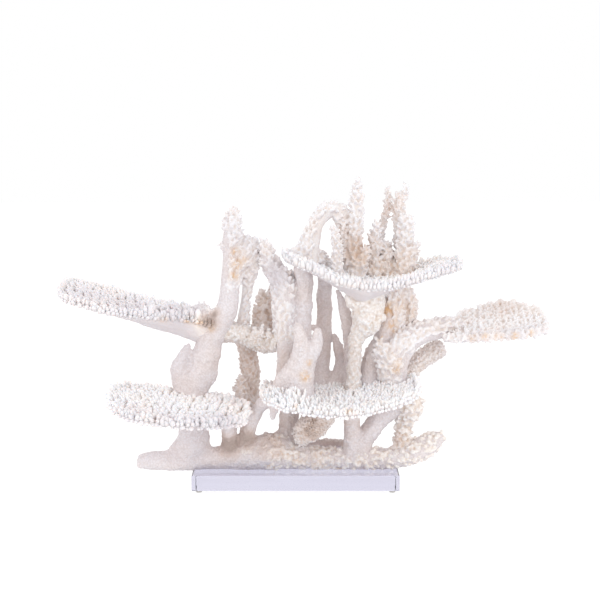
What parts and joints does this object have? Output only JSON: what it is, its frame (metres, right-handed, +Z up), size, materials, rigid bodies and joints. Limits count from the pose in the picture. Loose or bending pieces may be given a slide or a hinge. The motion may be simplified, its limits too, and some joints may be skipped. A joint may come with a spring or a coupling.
{
  "type": "mounted branching coral",
  "caption": "Branching coral with table plates, upright fingers and broken branches, mounted along a low clear acrylic block on small bumper feet.",
  "frame": {"origin": "middle of the footprint of the whole piece, on the plane that the four feet stand on", "axes": "+X along the log to the right as seen from the front, +Y from the front to the back, +Z up"},
  "size_m": [0.6032, 0.1909, 0.3813],
  "materials": {
    "acrylic": "polished clear acrylic",
    "bumper_rubber": "soft domed bumper",
    "coral_smooth": "smooth worn coral skeleton, matt",
    "coral_knobby": "coral skeleton with round knobs, matt",
    "coral_finger": "coral skeleton with small upright nubs, matt",
    "coral_plate": "plate set with short branchlets, matt",
    "coral_granular": "granular coral skeleton, matt",
    "coral_broken": "broken coral, cream and rough, matt"
  },
  "bodies": {
    "root": {"acrylic_block": "acrylic", "bumper_foot_front_left": "bumper_rubber", "bumper_foot_front_right": "bumper_rubber", "bumper_foot_back_left": "bumper_rubber", "bumper_foot_back_right": "bumper_rubber", "trunk_log": "coral_smooth", "left_column": "coral_smooth", "left_stub": "coral_smooth", "front_left_plate": "coral_plate", "front_plate": "coral_plate", "upper_left_plate": "coral_plate", "bowl_plate": "coral_plate", "right_plate": "coral_plate", "right_arm": "coral_granular", "left_finger": "coral_finger", "link_arm": "coral_smooth", "rear_branch": "coral_granular", "left_bridge": "coral_broken", "rear_spur": "coral_broken", "slim_crown": "coral_finger", "crown_lobe": "coral_finger", "main_crown": "coral_finger", "front_slab": "coral_smooth", "centre_column": "coral_smooth", "shaded_column": "coral_smooth", "back_fork": "coral_smooth", "thin_spire": "coral_smooth", "upper_stem": "coral_broken", "right_brace": "coral_smooth", "rear_stem": "coral_finger", "middle_column": "coral_smooth", "diagonal_brace": "coral_smooth", "knobby_column": "coral_knobby", "hanging_stub": "coral_broken", "back_column": "coral_smooth", "left_prop": "coral_smooth", "low_rear_bar": "coral_smooth", "corner_lump": "coral_knobby", "right_stub": "coral_broken", "hooked_finger": "coral_finger", "tallest_finger": "coral_finger", "small_finger": "coral_finger", "forked_finger": "coral_finger", "dark_finger": "coral_finger", "low_finger": "coral_finger", "right_finger": "coral_finger"}
  },
  "joints": []
}
